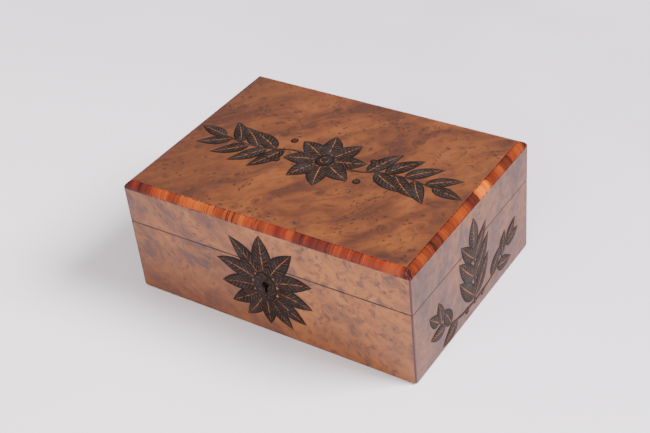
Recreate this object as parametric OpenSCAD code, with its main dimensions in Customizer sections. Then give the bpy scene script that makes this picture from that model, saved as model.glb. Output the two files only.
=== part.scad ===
// Ditty box: a veneered wooden box for papers and keepsakes.
// A dovetailed carcass is covered in burl veneer, banded round the top in cross-cut strips,
// hinged at the back on stopped butt hinges and shut by a link-plate box lock in the front.
// Millimetres. X is the width, the front faces -Y, Z is up from the table.

/* [Box] */
// Outside width, left to right
box_w = 240; // [200:5:300]
// Outside depth, front to back
box_d = 173; // [150:1:220]
// Height from the table to the joint between body and lid
body_h = 62; // [52:1:80]
// Height from that joint to the top veneer
lid_h = 35; // [30:1:50]
// Gap between the two rims when the lid is shut
joint_gap = 0.4; // [0.3:0.1:0.6]

/* [Boards] */
// Thickness of the side boards, without veneer
board_t = 9.8; // [9.4:0.1:12]
// Thickness of the bottom board
bottom_t = 6; // [4:0.5:9]
// Thickness of the top board, without veneer
top_t = 7; // [6:0.5:9]
// Thickness of the burl veneer and of the corner stringing
veneer_t = 1.2; // [0.8:0.1:1.6]
// Radius of the upright corners
corner_r = 0.9; // [0.4:0.1:1.1]
// Radius of the lower edges
foot_r = 1.1; // [0.4:0.1:1.4]
// Radius of the worn lower corners, seen across the box's diagonal
worn_corner_r = 3.6; // [2:0.2:5]
// Height at which the veneer ends above the table, so that it can't chip
veneer_lift = 0.3; // [0.2:0.1:0.6]

/* [Dovetails] */
// Tails at each corner of the body
body_tails = 3; // [2:1:5]
// Tails at each corner of the lid
lid_tails = 2; // [2:1:3]
// Narrow width of a whole pin
pin_w = 4; // [3:0.5:5]
// Slope of the tails, one in this many
tail_slope = 6; // [5:1:8]

/* [Banding] */
// Side of the square strip let into each top edge
band_w = 5.6; // [5.2:0.1:6.2]
// Flat left at the top and the side of each strip beside its bevel
band_flat = 0.5; // [0.3:0.1:1.2]
// Distance of the centre of the bevel's curve from each outer face
bevel_centre = 7; // [6:0.5:12]

/* [Keyhole] */
// Drop from the joint to the centre of the keyhole
key_drop = 18; // [17.5:0.5:20]
// Radius of the round part of the keyhole
keyhole_r = 3.25; // [2.75:0.25:3.5]
// Distance from that centre to the foot of the keyhole
keyhole_len = 7.5; // [6.5:0.5:8]
// Width of the keyhole's slot at its foot
keyhole_slot = 3.2; // [2.4:0.2:3.6]
// Radius of the pin that the hollow key turns on
key_pin_r = 1.1; // [0.9:0.1:1.3]
// How far that pin ends behind the face of the lock case
key_pin_setback = 1.4; // [1.2:0.2:2.4]
// Gap between the tip of the key and the foot of the keyhole
key_gap = 0.2; // [0.1:0.05:0.3]

/* [Lock] */
// Margin of the lock plate beside and below the case, where it is screwed on
lock_margin = 4.9; // [4.5:0.1:7]
// Distance of the lock screws from the plate's edges
lock_screw_edge = 2.5; // [2.2:0.1:3]
// Thickness of the lock plate and of the link plate
plate_t = 1.5; // [1.2:0.1:1.8]
// Depth of the lock case in front of its plate
case_depth = 6; // [5.8:0.1:6.2]
// Thickness of the case's sheet
case_t = 0.8; // [0.6:0.1:0.9]
// Play round the lock case in its pocket
case_play = 0.2; // [0.1:0.05:0.3]
// Room between the key's sweep and the bottom of the case
case_foot = 1.4; // [1:0.2:3]
// Thickness of the bolt
bolt_t = 1.4; // [1.1:0.1:1.6]
// Travel of the bolt
bolt_travel = 4.5; // [4:0.1:4.8]
// Height of the bolt's bar
bolt_bar_h = 3.7; // [3.4:0.1:4]
// Depth of the notch that the key turns in
talon_depth = 1.5; // [1.2:0.1:1.8]
// Width of that notch
talon_w = 7; // [6:0.5:9]
// How far the ends of the bolt reach down beside the key
bolt_skirt = 3.6; // [3:0.2:4.4]
// Room between those ends and the key's sweep
key_room = 0.6; // [0.4:0.1:1]
// Width of the bolt's two arms
arm_w = 3; // [2.5:0.1:3.5]
// Room between an arm and a link when the bolt is shot
arm_room = 1; // [0.6:0.1:1.4]
// Room between a prong and its link when the bolt is drawn back
prong_room = 0.6; // [0.4:0.1:0.9]
// Room at each end of the bolt's travel
end_room = 0.6; // [0.4:0.1:0.9]
// Height of the bolt's two prongs
prong_h = 2.2; // [1.8:0.1:2.6]
// Radius of the studs that the bolt slides on
stud_r = 1.2; // [1:0.1:1.3]
// Width of the shoulder that keeps the bolt off the lock plate
stud_shoulder = 0.8; // [0.6:0.1:1]
// Play between moving parts of the lock
lock_play = 0.3; // [0.25:0.05:0.35]
// Thickness of the bolt's spring
spring_t = 0.5; // [0.4:0.1:0.6]

/* [Links] */
// Distance between the two links
link_spacing = 24; // [23.5:0.5:25]
// Thickness of a link across the box
link_t = 2; // [1.6:0.1:2.2]
// Width of a link from front to back
link_w = 4; // [3.6:0.1:4.2]
// Metal below and above the eye of a link
link_wall = 1.2; // [1:0.1:1.4]
// Gap between the foot of a link and the bolt's bar
link_gap = 0.5; // [0.4:0.1:0.7]
// Length of the link plate outside each link
link_tab = 10; // [8:0.5:14]
// Margin of the link plate in front of the links and behind them
link_margin = 1.3; // [0.8:0.1:1.8]
// Width of the links' tenons
link_tenon_w = 2.4; // [2:0.1:3]
// Distance of the link screws from the plate's ends
link_screw_end = 3.5; // [3:0.25:4.5]

/* [Hinges] */
// Length of a hinge
hinge_len = 32; // [26:1:40]
// Distance of each hinge's middle from the end of the box
hinge_from_end = 50; // [35:1:65]
// Width of a leaf, from the hinge pin
leaf_w = 8; // [7:0.25:8.25]
// Thickness of a leaf
leaf_t = 1.3; // [1:0.1:1.6]
// Radius of the knuckles
knuckle_r = 2.3; // [2:0.1:2.6]
// Distance of the outer hinge screws from the leaf's ends
hinge_screw_end = 5; // [4:0.5:7]
// Number of knuckles, odd
knuckles = 5; // [3:2:7]
// Radius of the hinge pin
hinge_pin_r = 0.9; // [0.7:0.05:1]
// Distance of the hinge pin inside the back face
hinge_inset = 1.5; // [1.2:0.1:1.8]
// Half of the angle at which the back edges meet as a stop
stop_half_angle = 48; // [48:0.5:50]
// Play between knuckles, at their ends and round them
hinge_play = 0.25; // [0.15:0.05:0.35]

/* [Screws] */
// Radius of a screw's head
screw_head_r = 1.8; // [1.5:0.1:2]
// Radius of a screw's shank
screw_r = 1; // [0.8:0.1:1.1]
// Length of a hinge or link screw
screw_len = 9; // [6:0.5:12]
// Length of a lock screw
lock_screw_len = 7.5; // [5:0.5:8]
// Clearance round screws and other fitted pins
fit_play = 0.05; // [0.03:0.01:0.08]

/* [Lining] */
// Thickness of the baize on the floor of the box
lining_t = 1.2; // [0.8:0.1:2]
// Gap between the baize and the boards
lining_gap = 0.3; // [0.2:0.1:0.8]

/* [Hidden] */
$fn = 64;

eps = 0.01;
big = 1000;
box_h = body_h + lid_h;
body_rim = body_h - joint_gap / 2;
lid_rim = body_h + joint_gap / 2;
wall_t = board_t + veneer_t;
core_w = box_w - 2 * veneer_t;
core_d = box_d - 2 * veneer_t;
inner_w = box_w - 2 * wall_t;
inner_d = box_d - 2 * wall_t;
lid_frame_top = box_h - veneer_t - top_t;

bevel = band_w - band_flat;
bevel_r = norm([bevel_centre, bevel_centre - bevel]);

// Lock frame: x along the front, y up from the body's rim, q out from the board's inner face.
lock_y = -box_d / 2 + wall_t;
lock_depth = plate_t + case_depth;
key_y = -key_drop + joint_gap / 2;
key_reach = keyhole_len - key_gap;
bolt_bar_bottom = key_y + key_reach - talon_depth;
bolt_bar_top = bolt_bar_bottom + bolt_bar_h;
bolt_foot = bolt_bar_bottom - bolt_skirt;
eye_w = bolt_t + 2 * lock_play;
eye_h = prong_h + 4 * lock_play;
link_q = plate_t + (case_depth - case_t) / 2;
link_bottom = bolt_bar_top + link_gap;
prong_y = link_bottom + link_wall + eye_h / 2;
arm_to_link = bolt_travel + arm_room;
bolt_left = -link_spacing / 2 - link_t / 2 - arm_to_link - arm_w;
case_half = -bolt_left + end_room + case_t;
case_w = 2 * case_half;
case_bottom = key_y - key_reach - case_foot - case_t;
bolt_right = case_half - case_t - end_room - bolt_travel;
bolt_end_x = key_reach + key_room;
stud_y = (bolt_bar_top + bolt_foot) / 2;
stud_xs = [(bolt_left - bolt_end_x + bolt_travel) / 2, (bolt_end_x + bolt_right + bolt_travel) / 2];
lock_w = case_w + 2 * (case_play + lock_margin);
lock_h = -case_bottom + case_play + lock_margin;
lock_screw_x = lock_w / 2 - lock_screw_edge;
link_plate_w = link_spacing + link_t + 2 * link_tab;
link_plate_d = link_w + 2 * link_margin;
link_screw_x = link_plate_w / 2 - link_screw_end;
countersink_h = screw_head_r - screw_r;

hinge_x = box_w / 2 - hinge_from_end;
hinge_y = box_d / 2 - hinge_inset;
knuckle_len = hinge_len / knuckles;
hinge_screw_y = hinge_y - (knuckle_r + leaf_w) / 2;
hinge_screw_xs = [-hinge_len / 2 + hinge_screw_end, 0, hinge_len / 2 - hinge_screw_end];

burl = [0.66, 0.42, 0.26];
burl_side = [0.63, 0.44, 0.34];
carcass = [0.45, 0.24, 0.13];
tulipwood = [0.78, 0.33, 0.16];
dark_line = [0.33, 0.15, 0.1];
baize = [0.18, 0.26, 0.18];
brass = [0.78, 0.62, 0.3];
steel = [0.5, 0.5, 0.5];

// The waste outside a rounded corner of radius r at the origin, growing towards +X +Y.
module corner_waste(r) {
    difference() {
        translate([-eps, -eps]) square(r + eps);
        translate([r, r]) circle(r);
    }
}

// The waste outside the bevel's curve, with the sharp corner at the origin.
module bevel_waste() {
    difference() {
        translate([-eps, -eps]) square(bevel + eps);
        translate([bevel_centre, bevel_centre]) circle(bevel_r, $fn = 128);
    }
}

// Front view of the outer form for a box of width w: bevelled above, rounded below.
module outer_profile(w) {
    difference() {
        translate([-w / 2, 0]) square([w, box_h]);
        for (side = [0, 1]) {
            mirror([side, 0]) {
                translate([-w / 2, 0]) corner_waste(foot_r);
                translate([-w / 2, box_h]) mirror([0, 1]) bevel_waste();
            }
        }
    }
}

// What is worn away at a lower corner, with the corner at the origin and the box towards +X +Y +Z.
module worn_corner_waste() {
    rotate([90, 0, 45]) translate([0, 0, -2 * worn_corner_r])
        linear_extrude(4 * worn_corner_r) corner_waste(worn_corner_r);
}

// Outer form of the shut box; every outside piece is trimmed to it.
module outer_form() {
    difference() {
        intersection() {
            translate([0, box_d / 2 + 1, 0]) rotate([90, 0, 0]) linear_extrude(box_d + 2) outer_profile(box_w);
            translate([-box_w / 2 - 1, 0, 0]) rotate([90, 0, 90]) linear_extrude(box_w + 2) outer_profile(box_d);
            translate([0, 0, -1]) linear_extrude(box_h + 2) difference() {
                square([box_w, box_d], center = true);
                for (sx = [0, 1], sy = [0, 1])
                    mirror([sx, 0]) mirror([0, sy]) translate([-box_w / 2, -box_d / 2]) corner_waste(corner_r);
            }
        }
        for (sx = [0, 1], sy = [0, 1])
            mirror([sx, 0, 0]) mirror([0, sy, 0]) translate([-box_w / 2, -box_d / 2, 0]) worn_corner_waste();
    }
}

// A block centred on X and Y, from z0 to z1.
module slab(w, d, z0, z1) {
    translate([-w / 2, -d / 2, z0]) cube([w, d, z1 - z0]);
}

// The V along the back of the joint whose faces meet to stop the open lid.
module stop_groove() {
    run = hinge_inset + 1;
    rise = run * tan(stop_half_angle);
    translate([-box_w / 2 - 1, hinge_y, body_h]) rotate([90, 0, 90])
        linear_extrude(box_w + 2) polygon([[0, 0], [run, rise], [run, -rise]]);
}

// One hollow along the hinge line that the knuckles turn in.
module knuckle_hollow(x0, len) {
    translate([x0 - hinge_play, hinge_y, body_h]) rotate([0, 90, 0])
        cylinder(r = knuckle_r + hinge_play, h = len + 2 * hinge_play);
}

// What the back boards and veneers lose to the hinges; side is -1 below the joint and 1 above.
module hinge_mortises(side) {
    for (cx = [-hinge_x, hinge_x]) {
        knuckle_hollow(cx - hinge_len / 2, hinge_len);
        translate([cx - hinge_len / 2, hinge_y - leaf_w, body_h + (side > 0 ? 0 : -joint_gap / 2 - leaf_t)])
            cube([hinge_len, leaf_w, leaf_t + joint_gap / 2]);
        for (x = hinge_screw_xs)
            translate([cx + x, hinge_screw_y, body_h + side * joint_gap / 2]) rotate([side > 0 ? 0 : 180, 0, 0])
                screw_hole(screw_len);
    }
}

// A countersunk screw that enters along +Z, its flat head at z = 0.
module screw(len) {
    point_h = 2 * screw_r;
    rotate_extrude() polygon([
        [0, 0], [screw_head_r, 0], [screw_r, countersink_h], [screw_r, len - point_h], [0, len]
    ]);
}

// The hole for that screw, with its clearance.
module screw_hole(len) {
    translate([0, 0, -eps]) cylinder(r = screw_head_r + fit_play, h = eps);
    cylinder(r1 = screw_head_r + fit_play, r2 = screw_r + fit_play, h = countersink_h);
    translate([0, 0, countersink_h - eps]) cylinder(r = screw_r + fit_play, h = len - countersink_h + fit_play);
}

// Tails of one corner, from z0 to z1, wide at local y = 0 and narrow at y = board_t.
module tails(z0, z1, count) {
    pitch = (z1 - z0) / count;
    flare = board_t / tail_slope;
    for (i = [0 : count - 1]) {
        low = z0 + i * pitch + pin_w / 2;
        high = z0 + (i + 1) * pitch - pin_w / 2;
        rotate([90, 0, 90]) linear_extrude(board_t)
            polygon([[0, low], [board_t, low + flare], [board_t, high - flare], [0, high]]);
    }
}

// The tails of all four corners, placed in the carcass.
module corner_tails(z0, z1, count) {
    for (sx = [0, 1], sy = [0, 1])
        mirror([sx, 0, 0]) mirror([0, sy, 0]) translate([-core_w / 2, -core_d / 2, 0]) tails(z0, z1, count);
}

// A front or back board with the sockets of its dovetails; side is -1 for the front.
module pin_board(side, z0, z1, count) {
    difference() {
        translate([-core_w / 2, side < 0 ? -core_d / 2 : core_d / 2 - board_t, z0])
            cube([core_w, board_t, z1 - z0]);
        corner_tails(z0, z1, count);
    }
}

// A left or right board with its tails; side is -1 for the left.
module tail_board(side, z0, z1, count) {
    intersection() {
        union() {
            translate([side < 0 ? -core_w / 2 : core_w / 2 - board_t, -inner_d / 2, z0])
                cube([board_t, inner_d, z1 - z0]);
            corner_tails(z0, z1, count);
        }
        translate([side < 0 ? -box_w : 0, -box_d, -1]) cube([box_w, 2 * box_d, box_h + 2]);
    }
}

// A sheet of veneer on the front or back, between the corner stringings.
module front_veneer(side, z0, z1) {
    intersection() {
        translate([-core_w / 2, side < 0 ? -box_d / 2 : core_d / 2, z0]) cube([core_w, veneer_t, z1 - z0]);
        outer_form();
    }
}

// A sheet of veneer on the left or right, between the corner stringings.
module end_veneer(side, z0, z1) {
    intersection() {
        translate([side < 0 ? -box_w / 2 : core_w / 2, -core_d / 2, z0]) cube([veneer_t, core_d, z1 - z0]);
        outer_form();
    }
}

// The thin dark line let into each upright corner.
module stringing(z0, z1) {
    intersection() {
        for (sx = [0, 1], sy = [0, 1])
            mirror([sx, 0, 0]) mirror([0, sy, 0])
                translate([-box_w / 2, -box_d / 2, z0]) cube([veneer_t, veneer_t, z1 - z0]);
        outer_form();
    }
}

// One banding strip along a side of length len and its mitres, at distance reach from the middle.
module banding(len, reach) {
    intersection() {
        translate([0, 0, box_h - band_w]) linear_extrude(band_w + 1) polygon([
            [-len / 2, -reach], [len / 2, -reach],
            [len / 2 - band_w, -reach + band_w], [-len / 2 + band_w, -reach + band_w]
        ]);
        children();
    }
}

// The keyhole, cut along +Z through depth d, with its round centre at the origin.
module keyhole(d) {
    neck = keyhole_slot * 0.4;
    foot = keyhole_slot / 2;
    cylinder(r = keyhole_r, h = d);
    linear_extrude(d) {
        polygon([[-neck, 0], [neck, 0], [foot, foot - keyhole_len], [-foot, foot - keyhole_len]]);
        translate([0, foot - keyhole_len]) circle(foot);
    }
}

// Places the lock's own frame: X along the front, Y up from the body's rim, Z out through the front.
module lock_frame() {
    translate([0, lock_y, body_rim]) rotate([90, 0, 0]) children();
}

// What the body's front loses to the lock and its keyhole.
module lock_mortise() {
    lock_frame() {
        translate([-lock_w / 2, -lock_h, -eps]) cube([lock_w, lock_h + eps, plate_t + eps]);
        translate([-lock_w / 2, -plate_t, -eps]) cube([lock_w, plate_t + eps, lock_depth + eps]);
        translate([-case_w / 2 - case_play, case_bottom - case_play, 0])
            cube([case_w + 2 * case_play, -case_bottom + case_play, lock_depth + case_play]);
        translate([0, key_y, 0]) keyhole(wall_t + 1);
        lock_screw_places() screw_hole(lock_screw_len);
    }
}

// The four corners of the lock plate where it is screwed on.
module lock_screw_places() {
    for (x = [-lock_screw_x, lock_screw_x], y = [-lock_h + lock_screw_edge, -plate_t - 2 * lock_screw_edge])
        translate([x, y, 0]) children();
}

// What the lid's front board loses to the link plate.
module link_mortise() {
    lock_frame() {
        translate([-link_plate_w / 2, joint_gap - eps, link_q - link_plate_d / 2])
            cube([link_plate_w, plate_t + eps, link_plate_d]);
        link_screw_places() screw_hole(screw_len);
    }
}

// The two ends of the link plate where it is screwed up into the lid.
module link_screw_places() {
    for (x = [-link_screw_x, link_screw_x])
        translate([x, joint_gap, link_q]) rotate([-90, 0, 0]) children();
}

module bottom_board() {
    color(carcass) intersection() {
        slab(core_w, core_d, 0, bottom_t);
        outer_form();
    }
}

module body_front_board() {
    color(carcass) difference() {
        pin_board(-1, bottom_t, body_rim, body_tails);
        lock_mortise();
    }
}

module body_back_board() {
    color(carcass) difference() {
        pin_board(1, bottom_t, body_rim, body_tails);
        stop_groove();
        hinge_mortises(-1);
    }
}

module body_end_board(side) {
    color(carcass) difference() {
        tail_board(side, bottom_t, body_rim, body_tails);
        stop_groove();
    }
}

module body_front_veneer() {
    color(burl) difference() {
        front_veneer(-1, veneer_lift, body_rim);
        lock_frame() translate([0, key_y, 0]) keyhole(wall_t + 1);
    }
}

module body_back_veneer() {
    color(burl) difference() {
        front_veneer(1, veneer_lift, body_rim);
        stop_groove();
        hinge_mortises(-1);
    }
}

module body_end_veneer(side) {
    color(burl_side) difference() {
        end_veneer(side, veneer_lift, body_rim);
        stop_groove();
    }
}

module body_corner_stringing() {
    color(dark_line) difference() {
        stringing(veneer_lift, body_rim);
        stop_groove();
    }
}

module floor_lining() {
    color(baize) slab(inner_w - 2 * lining_gap, inner_d - 2 * lining_gap, bottom_t, bottom_t + lining_t);
}

module lid_top_board() {
    color(carcass) difference() {
        slab(core_w, core_d, lid_frame_top, box_h - veneer_t);
        difference() {
            slab(box_w, box_d, box_h - band_w, box_h);
            slab(box_w - 2 * band_w, box_d - 2 * band_w, box_h - band_w - 1, box_h + 1);
        }
    }
}

module lid_front_board() {
    color(carcass) difference() {
        pin_board(-1, lid_rim, lid_frame_top, lid_tails);
        link_mortise();
    }
}

module lid_back_board() {
    color(carcass) difference() {
        pin_board(1, lid_rim, lid_frame_top, lid_tails);
        stop_groove();
        hinge_mortises(1);
    }
}

module lid_end_board(side) {
    color(carcass) difference() {
        tail_board(side, lid_rim, lid_frame_top, lid_tails);
        stop_groove();
    }
}

module lid_top_veneer() {
    color(burl) slab(box_w - 2 * band_w, box_d - 2 * band_w, box_h - veneer_t, box_h);
}

module lid_front_veneer() {
    color(burl) front_veneer(-1, lid_rim, box_h - band_w);
}

module lid_back_veneer() {
    color(burl) difference() {
        front_veneer(1, lid_rim, box_h - band_w);
        stop_groove();
        hinge_mortises(1);
    }
}

module lid_end_veneer(side) {
    color(burl_side) difference() {
        end_veneer(side, lid_rim, box_h - band_w);
        stop_groove();
    }
}

module lid_corner_stringing() {
    color(dark_line) difference() {
        stringing(lid_rim, box_h - band_w);
        stop_groove();
    }
}

module banding_strip(turn) {
    along = turn % 180 == 0;
    color(tulipwood) intersection() {
        rotate([0, 0, turn]) banding(along ? box_w : box_d, along ? box_d / 2 : box_w / 2)
            slab(2 * box_w, 2 * box_w, 0, 2 * box_h);
        outer_form();
    }
}

// A hinge leaf with its plate below the hinge line and its knuckles where parity says.
module hinge_leaf(parity) {
    difference() {
        union() {
            difference() {
                translate([-hinge_len / 2, -leaf_w, -joint_gap / 2 - leaf_t]) cube([hinge_len, leaf_w, leaf_t]);
                for (i = [0 : knuckles - 1]) if (i % 2 != parity) knuckle_space(i);
            }
            for (i = [0 : knuckles - 1]) if (i % 2 == parity) translate([knuckle_start(i), 0, 0])
                rotate([0, 90, 0]) cylinder(r = knuckle_r, h = knuckle_len - hinge_play);
        }
        translate([-hinge_len / 2 - 1, 0, 0]) rotate([0, 90, 0])
            cylinder(r = hinge_pin_r + fit_play, h = hinge_len + 2);
        for (x = hinge_screw_xs) translate([x, -(knuckle_r + leaf_w) / 2, -joint_gap / 2]) rotate([180, 0, 0])
            screw_hole(screw_len);
    }
}

function knuckle_start(i) = -hinge_len / 2 + i * knuckle_len + hinge_play / 2;

// The room in a leaf's plate for one knuckle of the other leaf.
module knuckle_space(i) {
    translate([knuckle_start(i) - hinge_play, 0, 0]) rotate([0, 90, 0])
        cylinder(r = knuckle_r + hinge_play, h = knuckle_len + hinge_play);
}

module hinge_body_leaf(cx) {
    color(brass) translate([cx, hinge_y, body_h]) hinge_leaf(0);
}

module hinge_lid_leaf(cx) {
    color(brass) translate([cx, hinge_y, body_h]) mirror([0, 0, 1]) hinge_leaf(1);
}

module hinge_pin(cx) {
    color(steel) translate([cx - hinge_len / 2 + hinge_play / 2, hinge_y, body_h]) rotate([0, 90, 0])
        cylinder(r = hinge_pin_r, h = hinge_len - hinge_play);
}

module hinge_screws(side) {
    color(brass) for (cx = [-hinge_x, hinge_x], x = hinge_screw_xs)
        translate([cx + x, hinge_screw_y, body_h + side * joint_gap / 2]) rotate([side > 0 ? 0 : 180, 0, 0])
            screw(screw_len);
}

// The upright plate seen inside the box, with the top plate let into the rim.
module lock_plate() {
    slot_w = link_t + 2 * lock_play;
    slot_d = link_w + 2 * lock_play;
    color(brass) lock_frame() difference() {
        union() {
            translate([-lock_w / 2, -lock_h, 0]) cube([lock_w, lock_h, plate_t]);
            translate([-lock_w / 2, -plate_t, 0]) cube([lock_w, plate_t, lock_depth]);
        }
        for (x = [-link_spacing / 2, link_spacing / 2])
            translate([x - slot_w / 2, -plate_t - eps, link_q - slot_d / 2])
                cube([slot_w, plate_t + 2 * eps, slot_d]);
        lock_screw_places() screw_hole(lock_screw_len);
    }
}

// The folded sheet that covers the works, open at its top and against the plate.
module lock_case() {
    color(steel) lock_frame() difference() {
        translate([-case_w / 2, case_bottom, plate_t]) cube([case_w, -case_bottom - plate_t, case_depth]);
        translate([-case_w / 2 + case_t, case_bottom + case_t, plate_t - eps])
            cube([case_w - 2 * case_t, -case_bottom, case_depth - case_t + eps]);
        translate([0, key_y, plate_t]) keyhole(case_depth + 1);
        for (x = stud_xs) translate([x, stud_y, plate_t]) cylinder(r = stud_r + fit_play, h = case_depth + 1);
    }
}

// Two shouldered studs that carry the bolt and hold the case.
module lock_studs() {
    collar = link_q - bolt_t / 2 - plate_t - fit_play;
    color(steel) lock_frame() for (x = stud_xs) translate([x, stud_y, plate_t]) {
        cylinder(r = stud_r, h = case_depth);
        cylinder(r = stud_r + stud_shoulder, h = collar);
    }
}

module key_pin() {
    color(steel) lock_frame() translate([0, key_y, plate_t]) cylinder(r = key_pin_r, h = case_depth - key_pin_setback);
}

// Outline of the bolt: a bar with two hooked arms above, an end at each side and the key's notch between.
module bolt_outline() {
    slot_r = stud_r + lock_play / 2;
    difference() {
        union() {
            translate([bolt_left, bolt_bar_bottom]) square([bolt_right - bolt_left, bolt_bar_h]);
            translate([bolt_left, bolt_foot]) square([-bolt_end_x - bolt_left, bolt_bar_top - bolt_foot]);
            translate([bolt_end_x, bolt_foot]) square([bolt_right - bolt_end_x, bolt_bar_top - bolt_foot]);
            for (x = [-link_spacing / 2, link_spacing / 2]) {
                tip = x - link_t / 2 - prong_room;
                arm = x - link_t / 2 - arm_to_link - arm_w;
                translate([arm, bolt_bar_top - eps])
                    square([arm_w, prong_y + prong_h / 2 - bolt_bar_top + eps]);
                translate([arm, prong_y - prong_h / 2]) square([tip - arm - prong_h / 2, prong_h]);
                translate([tip - prong_h / 2, prong_y]) circle(prong_h / 2);
            }
        }
        translate([-talon_w / 2, bolt_foot]) square([talon_w, bolt_bar_bottom + talon_depth - bolt_foot]);
        for (x = stud_xs) translate([x, stud_y]) {
            translate([-bolt_travel, 0]) circle(slot_r);
            circle(slot_r);
            translate([-bolt_travel, -slot_r]) square([bolt_travel, 2 * slot_r]);
        }
    }
}

module lock_bolt() {
    color(brass) lock_frame() translate([0, 0, link_q - bolt_t / 2]) linear_extrude(bolt_t) bolt_outline();
}

// A bowed strip that stands on the bolt and rubs under the top plate.
module bolt_spring() {
    rise = -plate_t - lock_play - bolt_bar_top;
    right = link_spacing / 2 - link_t / 2 - arm_to_link - arm_w - 2 * lock_play;
    left = -link_spacing / 2 + link_t / 2 + 3 * lock_play;
    half = (right - left) / 2;
    radius = (half * half + rise * rise) / (2 * rise);
    color(steel) lock_frame() translate([(left + right) / 2, bolt_bar_top, link_q - bolt_t / 2])
        linear_extrude(bolt_t) intersection() {
            translate([0, rise - radius]) difference() {
                circle(radius, $fn = 128);
                circle(radius - spring_t, $fn = 128);
            }
            translate([-half, 0]) square([2 * half, 2 * rise]);
        }
}

module lock_screws() {
    color(brass) lock_frame() lock_screw_places() screw(lock_screw_len);
}

// The plate let into the lid's front rim, with a hole for each link's tenon.
module link_plate() {
    color(brass) lock_frame() difference() {
        translate([-link_plate_w / 2, joint_gap, link_q - link_plate_d / 2])
            cube([link_plate_w, plate_t, link_plate_d]);
        link_screw_places() screw_hole(screw_len);
        for (x = [-link_spacing / 2, link_spacing / 2])
            translate([x - link_t / 2 - fit_play, joint_gap - eps, link_q - link_tenon_w / 2 - fit_play])
                cube([link_t + 2 * fit_play, plate_t + 2 * eps, link_tenon_w + 2 * fit_play]);
    }
}

// One link: a flat finger with an eye for the bolt, rounded below, tenoned into its plate.
module link(side) {
    color(brass) lock_frame() translate([side * link_spacing / 2 - link_t / 2, 0, link_q])
        rotate([0, 90, 0]) linear_extrude(link_t) difference() {
            union() {
                translate([0, link_bottom + link_w / 2]) circle(link_w / 2);
                translate([-link_w / 2, link_bottom + link_w / 2])
                    square([link_w, joint_gap - link_bottom - link_w / 2]);
                translate([-link_tenon_w / 2, 0]) square([link_tenon_w, joint_gap + plate_t]);
            }
            translate([-eye_w / 2, prong_y - eye_h / 2]) square([eye_w, eye_h]);
        }
}

module link_screws() {
    color(brass) lock_frame() link_screw_places() screw(screw_len);
}

bottom_board();
body_front_board();
body_back_board();
body_end_board(-1);  // body_left_board
body_end_board(1);  // body_right_board
body_front_veneer();
body_back_veneer();
body_end_veneer(-1);  // body_left_veneer
body_end_veneer(1);  // body_right_veneer
body_corner_stringing();
floor_lining();
lid_top_board();
lid_front_board();
lid_back_board();
lid_end_board(-1);  // lid_left_board
lid_end_board(1);  // lid_right_board
lid_top_veneer();
lid_front_veneer();
lid_back_veneer();
lid_end_veneer(-1);  // lid_left_veneer
lid_end_veneer(1);  // lid_right_veneer
lid_corner_stringing();
banding_strip(0);  // banding_front
banding_strip(90);  // banding_right
banding_strip(180);  // banding_back
banding_strip(270);  // banding_left
hinge_body_leaf(-hinge_x);  // left_hinge_body_leaf
hinge_lid_leaf(-hinge_x);  // left_hinge_lid_leaf
hinge_pin(-hinge_x);  // left_hinge_pin
hinge_body_leaf(hinge_x);  // right_hinge_body_leaf
hinge_lid_leaf(hinge_x);  // right_hinge_lid_leaf
hinge_pin(hinge_x);  // right_hinge_pin
hinge_screws(-1);  // hinge_body_screws
hinge_screws(1);  // hinge_lid_screws
lock_plate();
lock_case();
lock_studs();
key_pin();
lock_bolt();
bolt_spring();
lock_screws();
link_plate();
link(-1);  // left_link
link(1);  // right_link
link_screws();
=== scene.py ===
"""Looks for the ditty box: burl veneer, cross-cut banding, leaf decorations, lining, brass and light."""

import math

import bmesh
import bpy
from mathutils import Matrix, Vector


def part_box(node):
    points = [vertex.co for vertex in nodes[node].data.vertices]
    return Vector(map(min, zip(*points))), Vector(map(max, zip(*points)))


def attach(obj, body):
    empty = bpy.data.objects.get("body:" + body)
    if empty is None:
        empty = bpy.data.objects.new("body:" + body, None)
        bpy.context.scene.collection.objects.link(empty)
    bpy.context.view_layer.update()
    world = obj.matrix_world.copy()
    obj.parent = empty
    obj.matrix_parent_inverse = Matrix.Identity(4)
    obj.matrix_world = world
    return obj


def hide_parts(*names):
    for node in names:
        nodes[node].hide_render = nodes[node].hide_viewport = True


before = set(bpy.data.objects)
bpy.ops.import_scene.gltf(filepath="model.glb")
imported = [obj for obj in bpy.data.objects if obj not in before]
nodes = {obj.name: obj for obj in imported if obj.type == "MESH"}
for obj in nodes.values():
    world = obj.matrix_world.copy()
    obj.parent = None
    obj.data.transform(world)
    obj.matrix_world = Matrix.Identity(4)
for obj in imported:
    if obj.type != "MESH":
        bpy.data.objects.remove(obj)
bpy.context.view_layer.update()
MM = 0.001

# Places on the box, in millimetres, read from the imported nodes.
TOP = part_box("lid_top_veneer")[1].z / MM
VENEER_X, VENEER_Y = (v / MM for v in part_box("lid_top_veneer")[1].xy)
BAND_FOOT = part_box("banding_front")[0].z / MM
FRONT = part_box("body_front_veneer")[0].y / MM
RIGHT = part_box("body_right_veneer")[1].x / MM
LID_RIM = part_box("lid_front_veneer")[0].z / MM
BODY_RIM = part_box("body_front_veneer")[1].z / MM
JOINT = (LID_RIM + BODY_RIM) / 2

# How long each piece of banding is, in metres.
BAND_PIECE = 0.043

# The keyhole, in millimetres: a round hole with a slot below it that ends in a smaller round.
KEY_X, KEY_Z = 0.0, JOINT - 18
HOLE_R = 3.25
NECK_HALF = 1.28
FOOT_R = 1.6
FOOT_DROP = 7.5
KEY_MIDDLE = 2.5

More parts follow.
